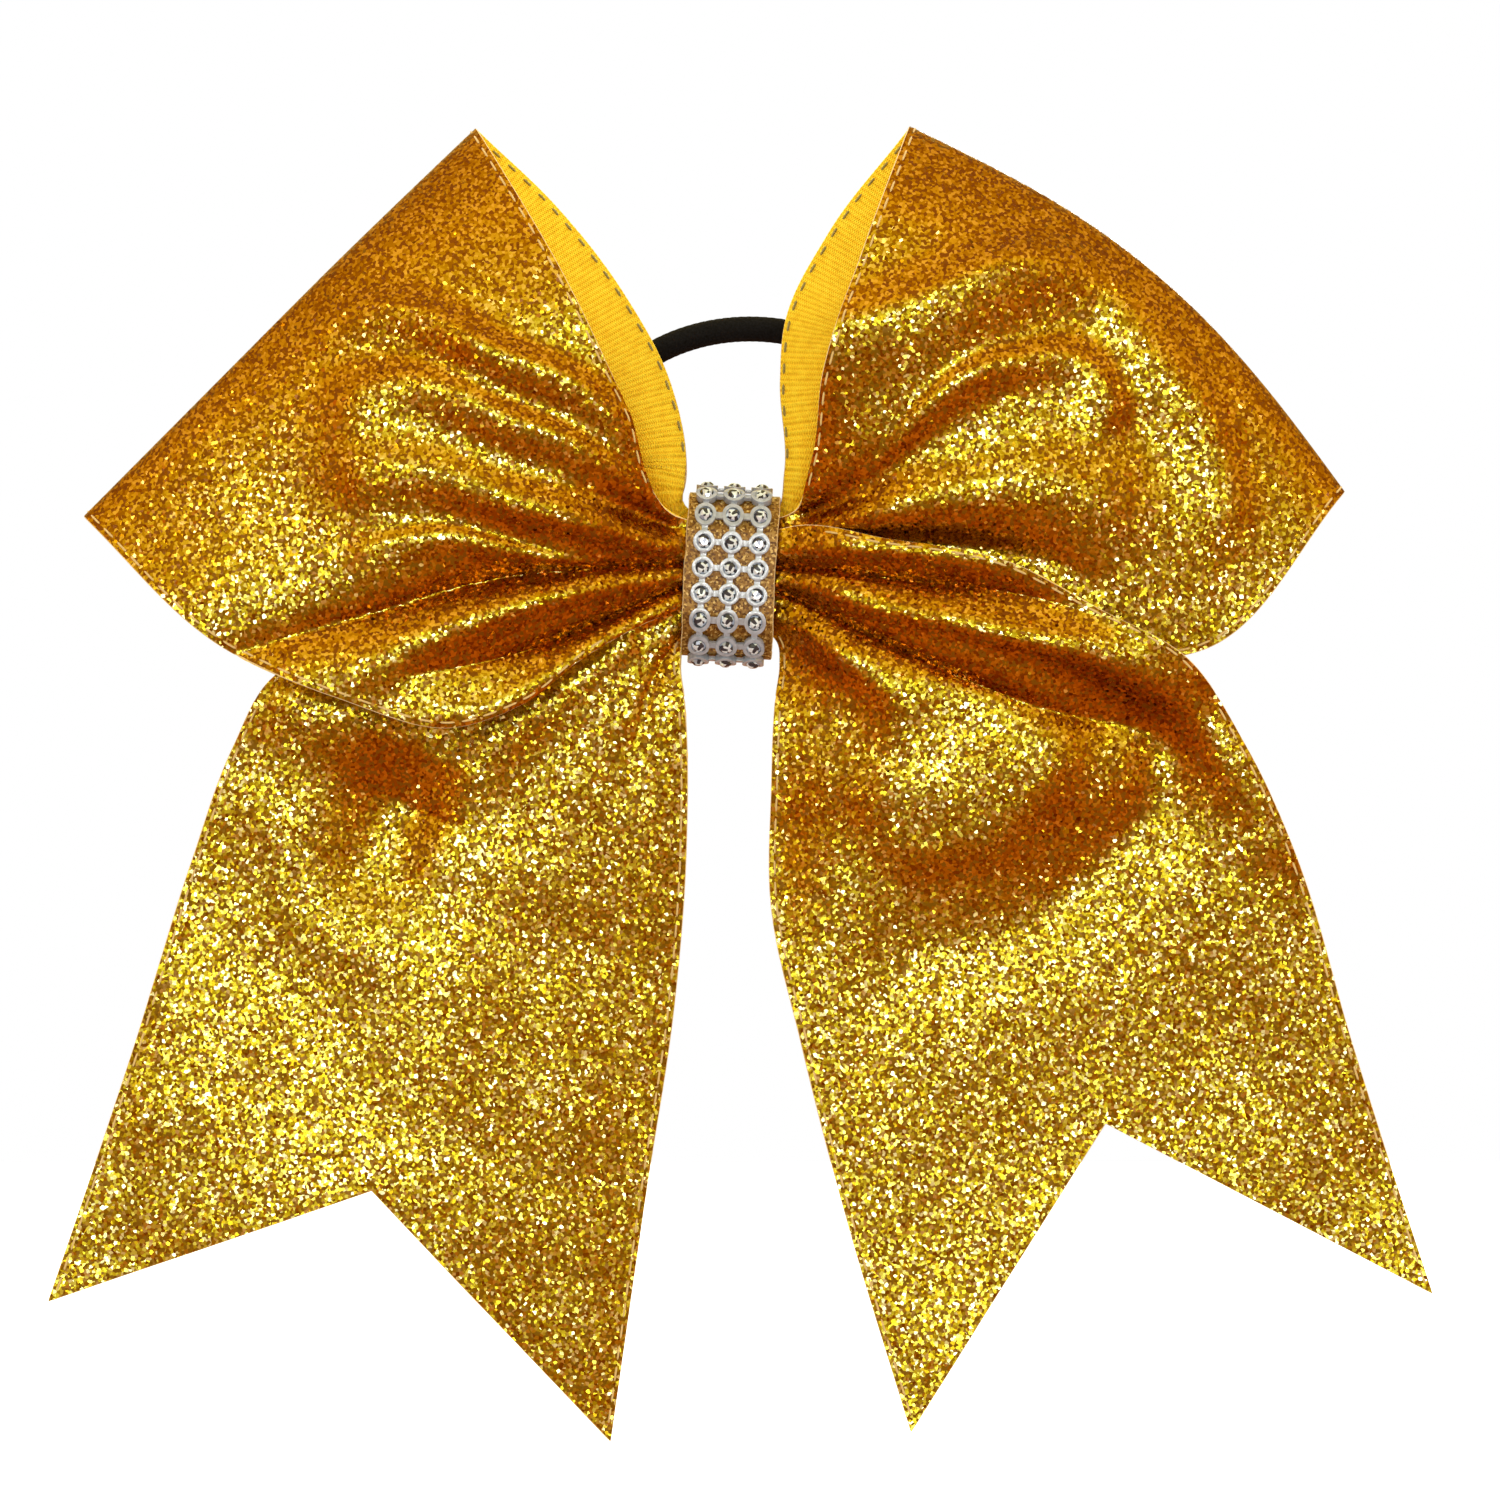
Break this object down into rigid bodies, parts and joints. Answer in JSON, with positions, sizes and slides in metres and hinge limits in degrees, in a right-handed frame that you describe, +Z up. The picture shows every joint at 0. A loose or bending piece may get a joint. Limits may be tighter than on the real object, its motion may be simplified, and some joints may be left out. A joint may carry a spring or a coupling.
{
  "type": "cheer hair bow",
  "caption": "Large two-loop ribbon hair bow with swallow-cut tails, glitter face, gathered centre wrap with a rhinestone band, and a round hair elastic behind.",
  "frame": {"origin": "centre of the wrap's flat rear face, where the knot rests on the ponytail", "axes": "+Z up as worn, the glitter face looks along -Y, +Y points out of the rear face towards the hair, +X to the viewer's right"},
  "size_m": [0.1933, 0.0262, 0.1852],
  "materials": {
    "glitter_ribbon": "gold glitter-coated polyester ribbon with fine sparkling flakes",
    "grosgrain": "bright yellow matte grosgrain with fine cross ribs",
    "silver_net": "silver plated plastic rhinestone mesh",
    "stone": "clear faceted crystal",
    "elastic": "black braided cover",
    "elastic_core": "natural rubber strand",
    "thread": "beige sewing thread",
    "glue": "clear hot-melt glue, slightly yellow"
  },
  "bodies": {
    "knot": {"centre_wrap": "glitter_ribbon", "wrap_lining": "grosgrain", "rhinestone_net": "silver_net", "rhinestone_1_1": "stone", "rhinestone_1_2": "stone", "rhinestone_1_3": "stone", "rhinestone_2_1": "stone", "rhinestone_2_2": "stone", "rhinestone_2_3": "stone", "rhinestone_3_1": "stone", "rhinestone_3_2": "stone", "rhinestone_3_3": "stone", "rhinestone_4_1": "stone", "rhinestone_4_2": "stone", "rhinestone_4_3": "stone", "rhinestone_5_1": "stone", "rhinestone_5_2": "stone", "rhinestone_5_3": "stone", "rhinestone_6_1": "stone", "rhinestone_6_2": "stone", "rhinestone_6_3": "stone", "rhinestone_7_1": "stone", "rhinestone_7_2": "stone", "rhinestone_7_3": "stone", "rhinestone_8_1": "stone", "rhinestone_8_2": "stone", "rhinestone_8_3": "stone", "rhinestone_9_1": "stone", "rhinestone_9_2": "stone", "rhinestone_9_3": "stone", "rhinestone_10_1": "stone", "rhinestone_10_2": "stone", "rhinestone_10_3": "stone", "gathered_front": "glitter_ribbon", "gathered_middle": "glitter_ribbon", "gathered_back": "glitter_ribbon", "gathering_thread": "thread", "glue_bead_upper": "glue", "glue_bead_lower": "glue"},
    "left_side": {"left_loop_glitter": "glitter_ribbon", "left_loop_grosgrain": "grosgrain", "left_tail_top_glitter": "glitter_ribbon", "left_tail_top_grosgrain": "grosgrain"},
    "right_side": {"right_loop_glitter": "glitter_ribbon", "right_loop_grosgrain": "grosgrain", "right_tail_top_glitter": "glitter_ribbon", "right_tail_top_grosgrain": "grosgrain"},
    "left_tail": {"left_tail_glitter": "glitter_ribbon", "left_tail_grosgrain": "grosgrain"},
    "right_tail": {"right_tail_glitter": "glitter_ribbon", "right_tail_grosgrain": "grosgrain"},
    "hair_elastic": {"elastic_cover": "elastic", "elastic_core": "elastic_core", "elastic_joint": "elastic"}
  },
  "joints": [
    {"name": "left_loop_fold", "type": "hinge", "parent": "knot", "child": "left_side", "pos_m": [-0.0073, -0.012, 0], "axis": [0, 0, 1], "range_deg": [0, 35], "stiffness_Nm_per_rad": 0.008},
    {"name": "right_loop_fold", "type": "hinge", "parent": "knot", "child": "right_side", "pos_m": [0.0073, -0.012, 0], "axis": [0, 0, -1], "range_deg": [0, 35], "stiffness_Nm_per_rad": 0.008},
    {"name": "left_tail_swing", "type": "hinge", "parent": "left_side", "child": "left_tail", "pos_m": [-0.038, -0.011, -0.024], "axis": [1, 0, 0], "range_deg": [-50, 35]},
    {"name": "right_tail_swing", "type": "hinge", "parent": "right_side", "child": "right_tail", "pos_m": [0.039, -0.015, -0.024], "axis": [1, 0, 0], "range_deg": [-50, 35]},
    {"name": "elastic_swing", "type": "hinge", "parent": "knot", "child": "hair_elastic", "pos_m": [0, -0.00365, 0], "axis": [-1, 0, 0], "range_deg": [0, 100], "stiffness_Nm_per_rad": 0.003, "springref_deg": -8.59}
  ]
}
